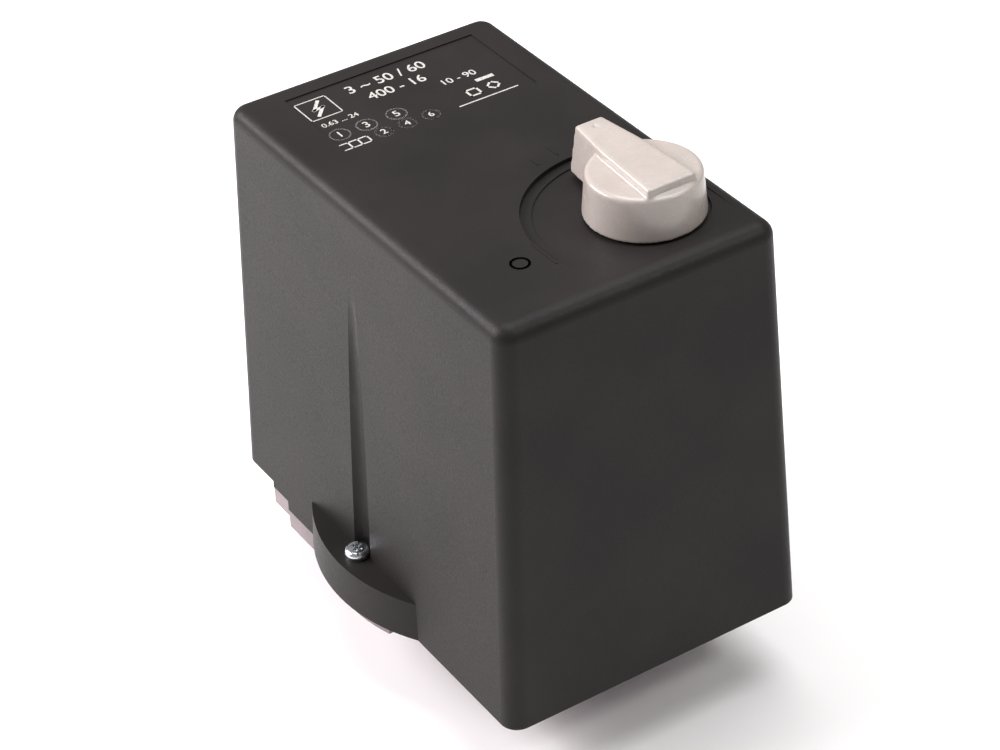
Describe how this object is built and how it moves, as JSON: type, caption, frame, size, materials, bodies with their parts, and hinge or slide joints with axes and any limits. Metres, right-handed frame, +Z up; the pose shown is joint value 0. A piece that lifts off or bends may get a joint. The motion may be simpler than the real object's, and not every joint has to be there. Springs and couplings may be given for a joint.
{
  "type": "motor protection breaker",
  "caption": "Pressure-operated motor protection breaker: tall screwed-on hood with a rotary on/off knob over a die-cast base with a threaded port and cable glands.",
  "frame": {"origin": "centre of the pressure port's mouth, on the flange's bottom face", "axes": "+Z up through the port axis towards the hood, +Y towards the cable glands, +X to the right when the glands point away"},
  "size_m": [0.1216, 0.178, 0.179],
  "materials": {
    "hood_plastic": "satin, fine spark-eroded grain",
    "knob_plastic": "glossy",
    "die_cast_aluminium": "as cast",
    "zinc_steel": "bright zinc plated",
    "sheet_steel": "zinc plated sheet",
    "spring_steel": "drawn wire",
    "black_phenolic": "moulded",
    "grey_polyamide": "moulded",
    "brass": "stamped",
    "black_rubber": "moulded",
    "heater_alloy": "drawn",
    "red_plastic": "moulded",
    "blue_plastic": "moulded"
  },
  "bodies": {
    "base": {"arc_cover": "grey_polyamide", "base_housing": "die_cast_aluminium", "bimetal_strips": "heater_alloy", "breaker_base": "black_phenolic", "breaker_lid": "grey_polyamide", "breaker_screws": "zinc_steel", "breaker_terminals": "brass", "bridge_screws": "zinc_steel", "contact_base": "black_phenolic", "cover_gasket": "black_rubber", "diaphragm": "black_rubber", "differential_nut": "sheet_steel", "differential_spring": "spring_steel", "earth_clamp": "brass", "earth_screw": "zinc_steel", "flange_screws": "zinc_steel", "frame_screws": "zinc_steel", "gland_locknuts": "grey_polyamide", "heater_coils": "heater_alloy", "left_gland_body": "grey_polyamide", "left_gland_nut": "grey_polyamide", "left_gland_seal": "black_rubber", "line_contacts": "brass", "load_contacts": "brass", "main_spring": "spring_steel", "mechanism_frame": "sheet_steel", "pivot_pin": "zinc_steel", "pressure_flange": "die_cast_aluminium", "pressure_nut": "sheet_steel", "reset_spring": "spring_steel", "right_gland_body": "grey_polyamide", "right_gland_nut": "grey_polyamide", "right_gland_seal": "black_rubber", "spring_bridge": "sheet_steel", "terminal_screws": "zinc_steel"},
    "cover": {"hood": "hood_plastic", "cover_screws": "zinc_steel"},
    "knob": {"knob": "knob_plastic", "knob_clip": "spring_steel", "knob_washer": "black_rubber"},
    "selector": {"selector_shaft": "grey_polyamide", "switch_cam": "black_phenolic"},
    "plunger": {"pressure_plunger": "sheet_steel"},
    "lever": {"rocker_lever": "sheet_steel"},
    "carrier": {"contact_carrier": "grey_polyamide", "bridge_contacts": "brass", "contact_springs": "spring_steel"},
    "pressure_spindle": {"pressure_spindle": "zinc_steel"},
    "differential_spindle": {"differential_spindle": "zinc_steel"},
    "trip_bar": {"trip_bar": "black_phenolic"},
    "overload_dial": {"overload_dial": "red_plastic"},
    "reset_button": {"reset_button": "blue_plastic"}
  },
  "joints": [
    {"name": "cover_lift", "type": "slide", "parent": "base", "child": "cover", "axis": [0, 0, 1], "range_m": [0, 0.16]},
    {"name": "knob_turn", "type": "hinge", "parent": "cover", "child": "knob", "pos_m": [0.0204, -0.0511, 0.1635], "axis": [0, 0, 1], "range_deg": [0, 90]},
    {"name": "selector_turn", "type": "hinge", "parent": "base", "child": "selector", "pos_m": [0.0204, -0.0511, 0.1], "axis": [0, 0, 1], "range_deg": [-3, 95]},
    {"name": "lever_rock", "type": "hinge", "parent": "base", "child": "lever", "pos_m": [0, -0.036, 0.04], "axis": [1, 0, 0], "range_deg": [0, 2.5], "deforming": ["main_spring", "differential_spring"]},
    {"name": "plunger_lift", "type": "slide", "parent": "base", "child": "plunger", "axis": [0, 0, 1], "range_m": [0, 0.0016]},
    {"name": "carrier_lift", "type": "slide", "parent": "base", "child": "carrier", "axis": [0, 0, 1], "range_m": [0, 0.0038]},
    {"name": "pressure_set", "type": "hinge", "parent": "base", "child": "pressure_spindle", "pos_m": [0, 0, 0.1], "axis": [0, 0, 1], "range_deg": [-1080, 2160]},
    {"name": "differential_set", "type": "hinge", "parent": "base", "child": "differential_spindle", "pos_m": [0, 0.024, 0.1], "axis": [0, 0, 1], "range_deg": [-720, 1440]},
    {"name": "trip_slide", "type": "slide", "parent": "base", "child": "trip_bar", "axis": [1, 0, 0], "range_m": [0, 0.003], "stiffness_N_per_m": 100},
    {"name": "overload_set", "type": "hinge", "parent": "base", "child": "overload_dial", "pos_m": [-0.02, -0.064, 0.105], "axis": [0, 0, 1], "range_deg": [-135, 135]},
    {"name": "reset_press", "type": "slide", "parent": "base", "child": "reset_button", "axis": [0, 0, 1], "range_m": [-0.0025, 0], "stiffness_N_per_m": 200, "deforming": ["reset_spring"]}
  ],
  "couplings": [
    {"joint": "selector_turn", "follows": "knob_turn", "ratio": 1},
    {"joint": "plunger_lift", "follows": "lever_rock", "m_per_rad": 0.036},
    {"joint": "carrier_lift", "follows": "lever_rock", "m_per_rad": 0.086}
  ]
}
